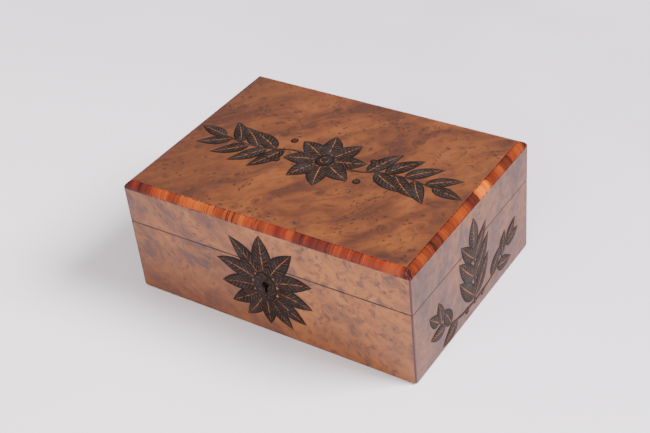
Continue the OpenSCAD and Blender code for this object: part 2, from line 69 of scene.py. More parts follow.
# The screws, in millimetres: where their heads sit on the rims and on the lock plate, and their sizes.
HINGE_X, HINGE_SCREW_XS, HINGE_SCREW_Y = 70, (-11, 0, 11), 79.85
LOCK_SCREW_X, LOCK_SCREW_ZS = 25.5, (31.9, 55.3)
LINK_SCREW_X, LINK_SCREW_Y = 19.5, -79.6
SCREW_LENGTH, LOCK_SCREW_LENGTH = 9, 7.5
SCREW_HEAD_R, SCREW_R, SCREW_TIP_R = 1.8, 1.0, 0.06
SLOT_HALF, SLOT_DEEP, TIP_OPENING = 0.28, 0.45, 0.28

# The camera stands where the photograph was taken.
right = Vector((0.83764, 0.53884, -0.08949)).normalized()
down = Vector((0.25854, -0.53543, -0.80403)).normalized()
ahead = right.cross(down).normalized()
up = -down
cam_data = bpy.data.cameras.new("camera")
cam = bpy.data.objects.new("camera", cam_data)
bpy.context.scene.collection.objects.link(cam)
turn = Matrix((right, up, -ahead)).transposed()
cam_at = Vector((439.77, -601.57, 588.52)) * MM
cam.matrix_world = Matrix.Translation(cam_at) @ turn.to_4x4()
cam_data.sensor_fit = "HORIZONTAL"
cam_data.sensor_width = 36
cam_data.lens = 68.05
cam_data.clip_start = 0.01
cam_data.clip_end = 30
bpy.context.scene.camera = cam


def rgb(r, g, b):
    """A colour given as it shows on a screen, in the linear values that shaders take."""
    def lin(c):
        c /= 255
        return c / 12.92 if c <= 0.04045 else ((c + 0.055) / 1.055) ** 2.4
    return (lin(r), lin(g), lin(b), 1.0)


class Shader:
    """A material under construction, with short names for the nodes it uses."""

    def __init__(self, name):
        self.mat = bpy.data.materials.new(name)
        self.mat.use_nodes = True
        self.tree = self.mat.node_tree
        self.tree.nodes.clear()
        self.out = self.tree.nodes.new("ShaderNodeOutputMaterial")
        self.bsdf = self.tree.nodes.new("ShaderNodeBsdfPrincipled")
        self.tree.links.new(self.bsdf.outputs[0], self.out.inputs[0])

    def put(self, socket, value):
        """Links an output to the socket, or sets a plain value on it."""
        if isinstance(value, bpy.types.NodeSocket):
            self.tree.links.new(value, socket)
        else:
            socket.default_value = value

    def set(self, **values):
        """Fills the surface's inputs, named with underscores for spaces."""
        for key, value in values.items():
            self.put(self.bsdf.inputs[key.replace("_", " ")], value)

    def place(self, order="xyz", scale=(1, 1, 1), offset=(0, 0, 0)):
        """Position in metres with its axes put in another order, then scaled and moved."""
        coord = self.tree.nodes.new("ShaderNodeTexCoord").outputs["Object"]
        split = self.tree.nodes.new("ShaderNodeSeparateXYZ")
        self.put(split.inputs[0], coord)
        join = self.tree.nodes.new("ShaderNodeCombineXYZ")
        for i, axis in enumerate(order):
            if axis in "xyz":
                self.put(join.inputs[i], split.outputs["xyz".index(axis)])
        scaled = self.vec("MULTIPLY", join.outputs[0], scale)
        return self.vec("ADD", scaled, offset)

    def vec(self, op, a, b):
        node = self.tree.nodes.new("ShaderNodeVectorMath")
        node.operation = op
        self.put(node.inputs[0], a)
        self.put(node.inputs[1], b)
        return node.outputs[0]

    def part(self, vector, axis):
        """One of a vector's three parts."""
        node = self.tree.nodes.new("ShaderNodeSeparateXYZ")
        self.put(node.inputs[0], vector)
        return node.outputs[axis]

    def turn(self, at, angle, centre=(0, 0, 0)):
        """A place turned in its plane about a centre, by an angle in radians."""
        node = self.tree.nodes.new("ShaderNodeVectorRotate")
        node.rotation_type = "Z_AXIS"
        self.put(node.inputs["Vector"], at)
        self.put(node.inputs["Center"], centre)
        self.put(node.inputs["Angle"], angle)
        return node.outputs[0]

    def math(self, op, a, b=0.0, c=0.0):
        node = self.tree.nodes.new("ShaderNodeMath")
        node.operation = op
        self.put(node.inputs[0], a)
        self.put(node.inputs[1], b)
        self.put(node.inputs[2], c)
        return node.outputs[0]

    def noise(self, at, scale, detail=2.0, rough=0.5, twist=0.0, out=0):
        """Soft noise whose scale counts its features to a metre."""
        node = self.tree.nodes.new("ShaderNodeTexNoise")
        self.put(node.inputs["Vector"], at)
        self.put(node.inputs["Scale"], scale)
        self.put(node.inputs["Detail"], detail)
        self.put(node.inputs["Roughness"], rough)
        self.put(node.inputs["Distortion"], twist)
        return node.outputs[out]

    def cells(self, at, scale):
        """The outputs of a flat pattern of cells, so many to a metre."""
        node = self.tree.nodes.new("ShaderNodeTexVoronoi")
        node.voronoi_dimensions = "2D"
        self.put(node.inputs["Vector"], at)
        self.put(node.inputs["Scale"], scale)
        return node.outputs

    def ramp(self, fac, stops):
        """A value turned into a colour, or into grey, by stops of a place and a tone."""
        node = self.tree.nodes.new("ShaderNodeValToRGB")
        band = node.color_ramp
        while len(band.elements) < len(stops):
            band.elements.new(0.5)
        for element, (pos, colour) in zip(band.elements, sorted(stops)):
            element.position = pos
            element.color = colour if isinstance(colour, tuple) else (colour, colour, colour, 1)
        self.put(node.inputs[0], fac)
        return node.outputs[0]

    def mix(self, fac, a, b):
        """Colour a where the factor is 0, colour b where it is 1."""
        node = self.tree.nodes.new("ShaderNodeMix")
        node.data_type = "RGBA"
        self.put(node.inputs[0], fac)
        self.put(node.inputs[6], a)
        self.put(node.inputs[7], b)
        return node.outputs[2]

    def span(self, value, a, b, c=0.0, d=1.0):
        """A value between a and b eased to one between c and d."""
        node = self.tree.nodes.new("ShaderNodeMapRange")
        node.interpolation_type = "SMOOTHSTEP"
        for i, v in enumerate((value, a, b, c, d)):
            self.put(node.inputs[i], v)
        return node.outputs[0]

    def bump(self, height, strength, distance):
        """Fine unevenness of the surface, its distance in metres."""
        node = self.tree.nodes.new("ShaderNodeBump")
        self.put(node.inputs["Strength"], strength)
        self.put(node.inputs["Distance"], distance)
        self.put(node.inputs["Height"], height)
        self.put(self.bsdf.inputs["Normal"], node.outputs[0])


def burl(name, order, tones, seed, flow, clouds, eyes, grain=0.1, shine=0.1, lean=None, shade=None):
    """Burl veneer on one face's plane: clouds and fibres along the flow, curling round scattered eyes.

    The flow is a direction in degrees. Clouds and eyes say how strongly these show. Lean gives the two
    places, in metres along the face, between which it turns golden. Shade gives two places, the first of
    which is darkened by the share that follows.
    """
    light, middle, dark, smoke = tones
    s = Shader(name)
    # The eyes, and a line of flow that curls round each of them.
    plane = s.place(order)
    at = s.vec("ADD", plane, (seed, seed * 0.7, 0))
    drift = s.vec("MULTIPLY", s.vec("SUBTRACT", s.noise(at, 17, 2, out=1), (0.5, 0.5, 0.5)), (0.03, 0.03, 0))
    eye = s.cells(at, 62)
    chance = s.part(eye["Color"], 0)
    crowd = s.span(s.noise(s.vec("ADD", at, (5.3, 2.9, 0)), 24, 1), 0.42, 0.58)
    strength = s.math("MULTIPLY", s.span(chance, 0.3, 0.5), crowd)
    near = eye["Distance"]
    if lean:
        across = s.part(plane, 0)
        strength = s.math("MULTIPLY", strength, s.span(across, lean[0], lean[1], 0.25, 1))
        golden = s.span(across, lean[0], lean[1])
        clouds = s.span(across, lean[0], lean[1], clouds, clouds * 0.75)
        smudge = s.noise(s.vec("ADD", at, (7.7, 0.4, 0)), 130, 2, 0.5, 0.3)
    curl = s.math("MULTIPLY", s.math("MULTIPLY", strength, s.span(near, 0.42, 0.02)), 3.2)
    turned = s.turn(at, curl, eye["Position"])
    line = s.turn(s.vec("ADD", turned, drift), math.radians(-flow))
    # The colour, from broad clouds down to the pores.
    cloud = s.noise(s.vec("MULTIPLY", line, (0.5, 1, 1)), 34, 3, 0.55, 0.3)
    mottle = s.noise(line, 150, 4, 0.65, 0.2)
    smoky = s.noise(s.vec("ADD", s.vec("MULTIPLY", line, (0.7, 1, 1)), (3.1, 1.7, 0)), 46, 3, 0.6, 0.3)
    fibre = s.noise(s.vec("MULTIPLY", line, (grain, 1, 1)), 230, 4, 0.6)
    pore = s.noise(s.vec("MULTIPLY", line, (0.3, 1, 1)), 1300, 2, 0.6)
    colour = s.ramp(cloud, [(0.36, dark), (0.48, middle), (0.62, light)])
    if lean:
        colour = s.mix(s.math("MULTIPLY", golden, 0.45), colour, light)
        colour = s.mix(s.math("MULTIPLY", golden, s.span(smudge, 0.54, 0.66, 0, 0.72)), colour, smoke)
    if shade:
        colour = s.mix(s.span(s.part(plane, 0), shade[0], shade[1], shade[2], 0), colour, dark)
    colour = s.mix(s.span(smoky, 0.5, 0.7, 0, clouds), colour, smoke)
    colour = s.mix(s.span(mottle, 0.5, 0.7, 0, 0.6), colour, dark)
    colour = s.mix(s.span(mottle, 0.46, 0.3, 0, 0.3), colour, light)
    colour = s.mix(s.span(fibre, 0.5, 0.66, 0, 0.36), colour, dark)
    colour = s.mix(s.span(fibre, 0.48, 0.34, 0, 0.25), colour, light)
    colour = s.mix(s.span(pore, 0.57, 0.72, 0, 0.35), colour, dark)
    # Rings round the eyes, then small pips that gather in herds.
    ring = s.ramp(near, [(0.0, 1.0), (0.03, 0.95), (0.055, 0.1), (0.09, 0.85), (0.135, 0.1), (0.2, 0.35),
                         (0.3, 0.0)])
    colour = s.mix(s.math("MULTIPLY", s.math("MULTIPLY", ring, strength), eyes), colour, smoke)
    pip = s.cells(s.vec("ADD", line, s.vec("MULTIPLY", drift, (0.5, 0.5, 0))), 215)
    herd = s.span(s.noise(s.vec("ADD", at, (8.3, 6.1, 0)), 42, 2), 0.47, 0.57)
    chosen = s.math("MULTIPLY", s.span(s.part(pip["Color"], 1), 0.45, 0.6), herd)
    spot = s.ramp(pip["Distance"], [(0.1, 1.0), (0.2, 0.35), (0.26, 0.6), (0.36, 0.0)])
    spot = s.math("MULTIPLY", spot, chosen)
    colour = s.mix(s.math("MULTIPLY", spot, 0.85), colour, smoke)
    colour = painted_shade(s, colour, order)
    s.set(Base_Color=colour, Roughness=s.span(mottle, 0.3, 0.7, 0.42, 0.54), Specular_IOR_Level=0.3 + shine,
          Coat_Weight=shine, Coat_Roughness=0.25)
    s.bump(s.math("ADD", fibre, s.math("MULTIPLY", pore, 0.6)), 0.22, 0.0001)
    return s.mat


def painted_shade(s, colour, order):
    """Painted shade on the veneer: a shadow line beside the banding on the top; on the other faces darker
    towards the bottom, a dark line along the joint and along the table, and shade in the keyhole on the
    front.
    """
    rag = s.span(s.noise(s.place("xyz"), 260, 2), 0.3, 0.6, 0.6, 1)
    # On the top: painted shadow, a thin brown line beside the banding.
    if order == "xy0":
        beside = s.math("MAXIMUM", *(s.span(s.math("ABSOLUTE", s.part(s.place("xyz"), axis)),
                                            (half - 0.9) * MM, (half - 0.1) * MM, 0, 0.55)
                                     for axis, half in ((0, VENEER_X), (1, VENEER_Y))))
        return s.mix(s.math("MULTIPLY", beside, rag), colour, rgb(88, 48, 36))
    height = s.part(s.place("xyz"), 2)
    # Painted shade: each side darker towards the bottom.
    painted_low_shade = s.span(s.math("ADD", height, s.math("MULTIPLY", s.noise(s.place("xyz"), 20, 2), 0.02)),
                     66 * MM, 10 * MM, 0, 0.35)
    colour = s.mix(painted_low_shade, colour, rgb(92, 50, 32))
    # Painted shade: a thin dark line along the gap between lid and body, and along the foot where the box
    # meets the table.
    joint = s.span(s.math("ABSOLUTE", s.math("SUBTRACT", height, JOINT * MM)), 1 * MM, 0.35 * MM, 0, 1)
    table = s.span(height, 1.8 * MM, 0.4 * MM, 0, 0.5)
    colour = s.mix(s.math("MULTIPLY", s.math("MAXIMUM", joint, table), rag), colour, rgb(34, 17, 13))
    return s.mix(keyhole_shade(s), colour, rgb(26, 18, 16)) if order == "xz0" else colour


def keyhole_shade(s):
    """1 on the wall of the keyhole, behind the face of the front, and 0 elsewhere."""
    split = [s.part(s.place("xyz"), axis) for axis in range(3)]
    above = s.math("SUBTRACT", split[2], (KEY_Z - 2) * MM)
    apart = s.math("SQRT", s.math("ADD", s.math("POWER", split[0], 2), s.math("POWER", above, 2)))
    round_ = s.span(apart, 7.5 * MM, 7 * MM)
    behind = s.span(split[1], (FRONT + 0.05) * MM, (FRONT + 0.35) * MM)
    return s.math("MULTIPLY", s.math("MULTIPLY", round_, behind), s.math("LESS_THAN", split[1], 0))


def banding(name, along, tones, seed, gloss, dark_at=(), glow_at=None):
    """Tulipwood banding in short pieces, its stripes across the strip, with a dark line along its inner
    border and painted shade along its lower edge.

    Each row of dark_at is a darker stretch: its middle and half its length in millimetres, and how dark
    it is. The middle of one pale stretch is glow_at.
    """
    pale, gold, orange, red, maroon = tones
    s = Shader(name)
    spread = {"x": (1, 0.03, 0.03), "y": (0.03, 1, 0.03)}[along]
    at = s.place("xyz", spread, (seed, seed, seed))
    where = [s.part(s.place("xyz"), axis) for axis in range(3)]
    run = where["xy".index(along)]
    across = s.math("ABSOLUTE", where["yx".index(along)])
    wander = s.math("MULTIPLY", s.noise(s.place("xyz"), 120, 1), 0.0016)
    piece = s.math("FLOOR", s.math("DIVIDE", s.math("ADD", s.math("ADD", run, seed), wander), BAND_PIECE))
    white = s.tree.nodes.new("ShaderNodeTexWhiteNoise")
    white.noise_dimensions = "1D"
    s.put(white.inputs["W"], piece)
    # Stripes across the strip, in a tone that changes from piece to piece.
    broad = s.noise(at, 75, 2, 0.5)
    stripe = s.noise(at, 620, 3, 0.65, 0.1)
    fine = s.noise(at, 1500, 2, 0.6)
    group = s.noise(at, 48, 1)
    tone = s.math("ADD", s.math("MULTIPLY", white.outputs["Value"], 0.35), s.math("MULTIPLY", broad, 0.65))
    base = s.ramp(tone, [(0.3, red), (0.42, orange), (0.54, gold), (0.72, pale)])
    for place, half, rise in dark_at:
        off = s.math("ABSOLUTE", s.math("SUBTRACT", run, place * MM))
        group = s.math("ADD", group, s.span(off, half * MM, 0.4 * half * MM, 0, rise))
    if glow_at is not None:
        away = s.math("ABSOLUTE", s.math("SUBTRACT", run, glow_at * MM))
        base = s.mix(s.span(away, 10 * MM, 6.5 * MM, 0, 0.9), base, rgb(188, 90, 9))
        group = s.math("SUBTRACT", group, s.span(away, 10 * MM, 6 * MM, 0, 0.2))
    dark = s.math("MULTIPLY", s.span(stripe, 0.53, 0.62), s.span(group, 0.44, 0.6, 0.15, 1))
    colour = s.mix(s.span(group, 0.54, 0.66, 0, 0.65), base, maroon)
    colour = s.mix(dark, colour, maroon)
    colour = s.mix(s.span(fine, 0.5, 0.66, 0, 0.55), colour, red)
    colour = s.mix(s.span(fine, 0.46, 0.3, 0, 0.22), colour, pale)
    # Ragged dark borders and mitres: a dark line along the inner edge, and painted shade along the lower edge
    # where the strip rounds down to the front.
    rag = s.noise(s.place(offset=(seed, 0, 0)), 330, 3, 0.7)
    edge = {"x": VENEER_Y, "y": VENEER_X}[along]
    inner = s.span(across, (edge + 1.3) * MM, (edge + 0.4) * MM)
    painted_lower_shade = s.span(where[2], (BAND_FOOT + 1.5) * MM, (BAND_FOOT + 0.4) * MM)
    dark_line_and_shade = s.math("MULTIPLY", s.math("MAXIMUM", inner, painted_lower_shade), s.span(rag, 0.42, 0.6, 0.1, 1))
    colour = s.mix(dark_line_and_shade, colour, rgb(40, 15, 18))
    end = {"x": VENEER_X, "y": VENEER_Y}[along]
    mitre = s.math("MULTIPLY", s.span(s.math("ABSOLUTE", run), (end - 3) * MM, (end + 2) * MM, 0, 0.9),
                   s.span(rag, 0.38, 0.52))
    colour = s.mix(mitre, colour, maroon)
    s.set(Base_Color=colour, Roughness=s.span(stripe, 0.3, 0.7, 0.6 - 0.3 * gloss, 0.7 - 0.3 * gloss),
          Specular_IOR_Level=0.25 * gloss, Coat_Weight=0.07 * gloss, Coat_Roughness=0.12)
    s.bump(s.math("ADD", fine, dark), 0.25, 0.0001)
    return s.mat


def plain_wood(name, along, light, dark, seed):
    """Straight-grained wood with its grain along one axis."""
    s = Shader(name)
    scale = {"x": (1, 14, 14), "y": (14, 1, 14), "z": (14, 14, 1)}[along]
    at = s.place("xyz", scale, (seed, seed, seed))
    grain = s.noise(at, 28, 4, 0.6, 0.5)
    fine = s.noise(s.place("xyz", tuple(v * 2 for v in scale), (seed, 0, 0)), 90, 2, 0.6)
    colour = s.ramp(grain, [(0.3, dark), (0.65, light)])
    colour = s.mix(s.span(fine, 0.52, 0.72, 0, 0.45), colour, dark)
    colour = s.mix(keyhole_shade(s), colour, rgb(26, 18, 16))
    s.set(Base_Color=colour, Roughness=s.span(grain, 0.3, 0.7, 0.5, 0.62))
    s.bump(fine, 0.3, 0.0001)
    return s.mat


def metal(name, colour, dull, rough, seed):
    """Brushed metal with faint tarnish."""
    s = Shader(name)
    brushed = s.noise(s.place("xyz", (1, 12, 12), (seed, 0, 0)), 500, 2, 0.6)
    tarnish = s.noise(s.place("xyz"), 180, 4, 0.6, 0.5)
    s.set(Base_Color=s.mix(s.span(tarnish, 0.42, 0.72, 0, 0.6), colour, dull), Metallic=1.0,
          Roughness=s.span(s.math("ADD", brushed, tarnish), 0.6, 1.4, rough - 0.08, rough + 0.14))
    s.bump(brushed, 0.15, 0.00005)
    return s.mat


def baize_cloth(name):
    """Green baize with a short uneven nap."""
    s = Shader(name)
    nap = s.noise(s.place("xyz"), 900, 4, 0.7)
    worn = s.noise(s.place("xyz"), 30, 3, 0.5)
    colour = s.ramp(nap, [(0.3, rgb(28, 52, 36)), (0.7, rgb(52, 84, 58))])
    s.set(Base_Color=s.mix(s.span(worn, 0.4, 0.7, 0, 0.3), colour, rgb(70, 96, 70)), Roughness=0.95,
          Sheen_Weight=0.4, Sheen_Roughness=0.5)
    s.bump(nap, 0.6, 0.0003)
    return s.mat


def drawn_black(name):
    """Charcoal-black relief with a darker rim and fine engraved lines that show the wood."""
    s = Shader(name)
    uv = s.tree.nodes.new("ShaderNodeUVMap")
    uv.uv_map = "leaf"
    split = s.tree.nodes.new("ShaderNodeSeparateXYZ")
    s.put(split.inputs[0], uv.outputs[0])
    # t runs from the leaf's base to its tip, v from edge to edge.
    t, v = split.outputs[0], split.outputs[1]
    side = s.math("ABSOLUTE", v)
    rag = s.noise(s.place("xyz"), 420, 3, 0.65)
    tone = s.noise(s.place("xyz"), 95, 3, 0.6)
    streak = s.noise(s.vec("MULTIPLY", uv.outputs[0], (2.5, 9, 1)), 3.2, 3, 0.6, 0.3)
    colour = s.ramp(tone, [(0.32, rgb(20, 17, 16)), (0.5, rgb(29, 26, 26)), (0.7, rgb(40, 38, 40))])
    colour = s.mix(s.span(streak, 0.5, 0.7, 0, 0.6), colour, rgb(72, 46, 32))
    vein = s.math("FRACT", s.math("SUBTRACT", s.math("MULTIPLY", t, 9), s.math("MULTIPLY", side, 1.7)))
    vein = s.math("ABSOLUTE", s.math("SUBTRACT", vein, 0.5))
    broken = s.span(rag, 0.4, 0.54)
    veins = s.math("MULTIPLY", s.span(vein, 0.09, 0.03), s.math("MULTIPLY", broken, s.span(side, 0.85, 0.6)))
    rib = s.math("MULTIPLY", s.span(side, 0.075, 0.03), s.span(rag, 0.38, 0.52))
    colour = s.mix(s.math("MULTIPLY", veins, 0.8), colour, rgb(112, 70, 44))
    colour = s.mix(s.math("MULTIPLY", rib, 0.85), colour, rgb(130, 82, 52))
    colour = s.mix(s.span(side, 0.8, 0.95, 0, 0.8), colour, rgb(16, 13, 14))
    s.set(Base_Color=colour, Roughness=s.span(rag, 0.3, 0.7, 0.5, 0.66), Specular_IOR_Level=0.06)
    s.bump(s.math("SUBTRACT", rag, s.math("ADD", veins, rib)), 0.5, 0.0002)
    return s.mat


# Veneer runs from light to smoky, banding from pale to maroon. The faces share one veneer and one banding,
# and their tones differ to paint in the light each face gets: the front's are lighter for a painted sheen,
# and the right-hand side's veneer and banding are darker where the window lights them. The back takes the
# front's tones and the left the right's.
TOP_TONES = (rgb(113, 61, 24), rgb(95, 48, 20), rgb(66, 31, 15), rgb(38, 17, 12))
FRONT_TONES = (rgb(146, 84, 25), rgb(118, 65, 25), rgb(82, 42, 22), rgb(50, 30, 32))
SIDE_TONES = (rgb(99, 55, 26), rgb(78, 43, 28), rgb(61, 34, 26), rgb(38, 27, 31))
FRONT_BAND = (rgb(160, 76, 20), rgb(154, 67, 21), rgb(134, 50, 18), rgb(90, 23, 16), rgb(38, 9, 16))
RIGHT_BAND = (rgb(124, 50, 10), rgb(94, 33, 10), rgb(68, 19, 8), rgb(34, 8, 7), rgb(16, 4, 8))
looks = {
    "top": burl("burl_top", "xy0", TOP_TONES, 2.3, flow=48, clouds=0.5, eyes=0.8, shade=(-0.11, -0.03, 0.6)),
    "front": burl("burl_front", "xz0", FRONT_TONES, 5.1, flow=-35, clouds=0.8, eyes=1.0, grain=0.4,
                  lean=(-0.02, 0.05), shade=(-0.12, 0.0, 0.5)),
    "back": burl("burl_back", "xz0", FRONT_TONES, 9.4, flow=30, clouds=0.6, eyes=1.0, grain=0.4),
    "right": burl("burl_right", "yz0", SIDE_TONES, 3.7, flow=80, clouds=0.7, eyes=0.9, shine=0.04),
    "left": burl("burl_left", "yz0", SIDE_TONES, 7.9, flow=80, clouds=0.7, eyes=0.9, shine=0.04),
    "band_front": banding("band_front", "x", FRONT_BAND, 1.13, 0.9, dark_at=((-75, 11, 0.27), (50, 10, 0.1))),
    "band_back": banding("band_back", "x", FRONT_BAND, 2.41, 0.9),
    "band_right": banding("band_right", "y", RIGHT_BAND, 3.27, 0.2, dark_at=((-47, 9, 0.15), (55, 11, 0.13)),
                          glow_at=19),
    "band_left": banding("band_left", "y", RIGHT_BAND, 4.73, 0.9),
    "line": plain_wood("corner_line", "z", rgb(66, 28, 23), rgb(42, 17, 15), 1.0),
    "board_x": plain_wood("board_x", "x", rgb(150, 92, 58), rgb(98, 54, 34), 2.0),
    "board_y": plain_wood("board_y", "y", rgb(146, 90, 58), rgb(94, 52, 34), 3.0),
    "brass": metal("brass", rgb(208, 168, 96), rgb(158, 116, 64), 0.34, 1.0),
    "screw": metal("screw_brass", rgb(176, 132, 72), rgb(112, 78, 44), 0.3, 5.0),
    "steel": metal("steel", rgb(150, 148, 146), rgb(78, 72, 68), 0.42, 2.0),
    "baize": baize_cloth("baize"),
    "black": drawn_black("drawn_black"),
}


def look_of(name):
    """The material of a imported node, told by its name."""
    if name.startswith("banding_"):
        return looks["band_" + name.split("_")[1]]
    if name.endswith("_veneer"):
        return looks[name.split("_")[1]]
    if name.endswith("_stringing"):
        return looks["line"]
    if name.endswith("_board"):
        return looks["board_y" if name.split("_")[1] in ("left", "right") else "board_x"]
    if name == "floor_lining":
        return looks["baize"]
    if name in ("lock_case", "lock_studs", "key_pin", "bolt_spring") or name.endswith("_pin"):
        return looks["steel"]
    return looks["brass"]


for name, obj in nodes.items():
    obj.data.materials.clear()
    obj.data.materials.append(look_of(name))
    obj.data.set_sharp_from_angle(angle=math.radians(30))


def make(name, verts, faces, material, uvs=None):
    """A smooth object from points in millimetres."""
    mesh = bpy.data.meshes.new(name)
    mesh.from_pydata([Vector(v) * MM for v in verts], [], faces)
    if uvs is not None:
        layer = mesh.uv_layers.new(name="leaf")
        for loop in mesh.loops:
            layer.data[loop.index].uv = uvs[loop.vertex_index]
    for polygon in mesh.polygons:
        polygon.use_smooth = True
    mesh.set_sharp_from_angle(angle=math.radians(50))
    mesh.materials.append(material)
    obj = bpy.data.objects.new(name, mesh)
    bpy.context.scene.collection.objects.link(obj)
    return obj


# How deep an ornament's flat underside is sunk into the veneer.
SUNK = 0.06


class Relief:
    """Flat ornament in millimetres on a plane (a, b), standing h proud of it."""

    def __init__(self):
        self.verts, self.faces, self.uvs = [], [], []

    def strip(self, centres, halves, height, across, groove=0.0):
        """A ribbon along centres, halves wide to each side, crowned and closed below.

        Across counts its faces from edge to edge, and groove says how deep its midrib is.
        """
        n = len(centres) - 1
        tops, lows = [], []
        for i, (p, w) in enumerate(zip(centres, halves)):
            q0, q1 = centres[max(i - 1, 0)], centres[min(i + 1, n)]
            d = (Vector(q1) - Vector(q0)).normalized()
            side = Vector((-d.y, d.x))
            rise = height * min(1.0, 0.35 + w / max(halves))
            for j in range(across + 1):
                v = 2 * j / across - 1
                a, b = Vector(p) + side * (w * v)
                h = rise * (0.3 + 0.7 * (1 - v * v)) - rise * groove * math.exp(-((v / 0.16) ** 2))
                tops.append(len(self.verts))
                self.verts.append((a, b, h))
                self.uvs.append((i / n, v))
        for i, (p, w) in enumerate(zip(centres, halves)):
            for j in range(across + 1):
                a, b, _ = self.verts[tops[i * (across + 1) + j]]
                lows.append(len(self.verts))
                self.verts.append((a, b, -SUNK))
                self.uvs.append((i / n, 2 * j / across - 1))
        w = across + 1
        for i in range(n):
            for j in range(across):
                k = i * w + j
                self.faces.append((tops[k], tops[k + w], tops[k + w + 1], tops[k + 1])[::-1])
                self.faces.append((lows[k], lows[k + w], lows[k + w + 1], lows[k + 1]))
        rim = [i * w for i in range(n + 1)] + [n * w + j for j in range(1, w)]
        rim += [i * w + across for i in range(n - 1, -1, -1)] + [j for j in range(across - 1, 0, -1)]
        for k, m in zip(rim, rim[1:] + rim[:1]):
            self.faces.append((tops[k], tops[m], lows[m], lows[k]))

    def leaf(self, at, angle, length, width, bend=0.0, height=0.42):
        """A pointed leaf from its base at an angle in degrees, its tip bent sideways."""
        d = Vector((math.cos(math.radians(angle)), math.sin(math.radians(angle))))
        side = Vector((-d.y, d.x))
        steps = 22
        centres, halves = [], []
        for i in range(steps + 1):
            t = i / steps
            centres.append(tuple(Vector(at) + d * (length * t) + side * (bend * length * t * t)))
            halves.append(max(0.12, width / 2 * math.sin(math.pi * t ** 0.72) ** 0.85))
        self.strip(centres, halves, height, across=10, groove=0.45)

    def stem(self, points, start, end, height=0.3):
        """A tapering stem through the points, smoothed."""
        pts = [Vector(p) for p in points]
        curve = []
        for i in range(len(pts) - 1):
            p0, p1, p2, p3 = pts[max(i - 1, 0)], pts[i], pts[i + 1], pts[min(i + 2, len(pts) - 1)]
            for k in range(8):
                t = k / 8
                curve.append(tuple(0.5 * ((2 * p1) + (p2 - p0) * t + (2 * p0 - 5 * p1 + 4 * p2 - p3) * t * t
                                          + (3 * p1 - p0 - 3 * p2 + p3) * t ** 3)))
        curve.append(tuple(pts[-1]))
        n = len(curve) - 1
        self.strip(curve, [start + (end - start) * i / n for i in range(n + 1)], height, across=4)
        return curve

    def ring(self, inner, outer, height, steps=6):
        """A closed band between two loops of as many points, crowned."""
        n = len(inner)
        base = len(self.verts)
        for k in range(steps + 1):
            s = k / steps
            for i in range(n):
                a = inner[i][0] + (outer[i][0] - inner[i][0]) * s
                b = inner[i][1] + (outer[i][1] - inner[i][1]) * s
                v = 2 * s - 1
                self.verts.append((a, b, height * (0.35 + 0.65 * (1 - v ** 4))))
                self.uvs.append((i / n, 0.25 + 0.75 * abs(v)))
        low = len(self.verts)
        for loop in (inner, outer):
            for i in range(n):
                self.verts.append((loop[i][0], loop[i][1], -SUNK))
                self.uvs.append((i / n, 1))
        for k in range(steps):
            for i in range(n):
                j = (i + 1) % n
                p = base + k * n
                self.faces.append((p + i, p + n + i, p + n + j, p + j))
        top = base + steps * n
        for i in range(n):
            j = (i + 1) % n
            self.faces.append((base + j, low + j, low + i, base + i))
            self.faces.append((top + i, low + n + i, low + n + j, top + j))
            self.faces.append((low + i, low + j, low + n + j, low + n + i))

    def dome(self, at, radius, height):
        """A round button."""
        n = 20
        loop = [(math.cos(2 * math.pi * i / n), math.sin(2 * math.pi * i / n)) for i in range(n)]
        base = len(self.verts)
        self.verts.append((at[0], at[1], height))
        self.uvs.append((0.5, 0.5))
        for k in range(1, 5):
            s = k / 4
            rise = height * math.sqrt(1.1 - s * s)
            for x, y in loop:
                self.verts.append((at[0] + radius * s * x, at[1] + radius * s * y, rise))
                self.uvs.append((0.5, 0.3 + 0.7 * s))
        for x, y in loop:
            self.verts.append((at[0] + radius * x, at[1] + radius * y, -SUNK))
            self.uvs.append((0.5, 1))
        for i in range(n):
            j = (i + 1) % n
            self.faces.append((base, base + 1 + i, base + 1 + j))
            for k in range(4):
                p = base + 1 + k * n
                self.faces.append((p + i, p + n + i, p + n + j, p + j))
        self.faces.append(tuple(base + 1 + 4 * n + i for i in range(n))[::-1])

    def build(self, name, plane):
        """Puts the ornament on a face of the box: top, front or right."""
        place = {
            "top": lambda a, b, h: (a, b, TOP + h),
            "front": lambda a, b, h: (a, FRONT - h, b),
            "right": lambda a, b, h: (RIGHT + h, a, b),
        }[plane]
        return make(name, [place(*v) for v in self.verts], self.faces, looks["black"], self.uvs)


def split_at_joint(obj):
    """Saws a decoration that crosses the joint into one part for the lid and one for the body."""
    for body, level, upper in (("lid", LID_RIM, True), ("body", BODY_RIM, False)):
        bm = bmesh.new()
        bm.from_mesh(obj.data)
        geom = bm.verts[:] + bm.edges[:] + bm.faces[:]
        cut = bmesh.ops.bisect_plane(bm, geom=geom, plane_co=(0, 0, level * MM), plane_no=(0, 0, 1),
                                     dist=1e-7, clear_inner=upper, clear_outer=not upper)
        edges = [e for e in cut["geom_cut"] if isinstance(e, bmesh.types.BMEdge)]
        bmesh.ops.holes_fill(bm, edges=edges, sides=0)
        mesh = bpy.data.meshes.new(obj.name + "_" + body)
        bm.to_mesh(mesh)
        bm.free()
        mesh.materials.clear()
        mesh.materials.append(looks["black"])
        part = bpy.data.objects.new(obj.name + "_" + body, mesh)
        bpy.context.scene.collection.objects.link(part)
        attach(part, body)
    bpy.data.objects.remove(obj)


def heading(p, q):
    """The direction from one point to another, in degrees."""
    return math.degrees(math.atan2(q[1] - p[1], q[0] - p[0]))


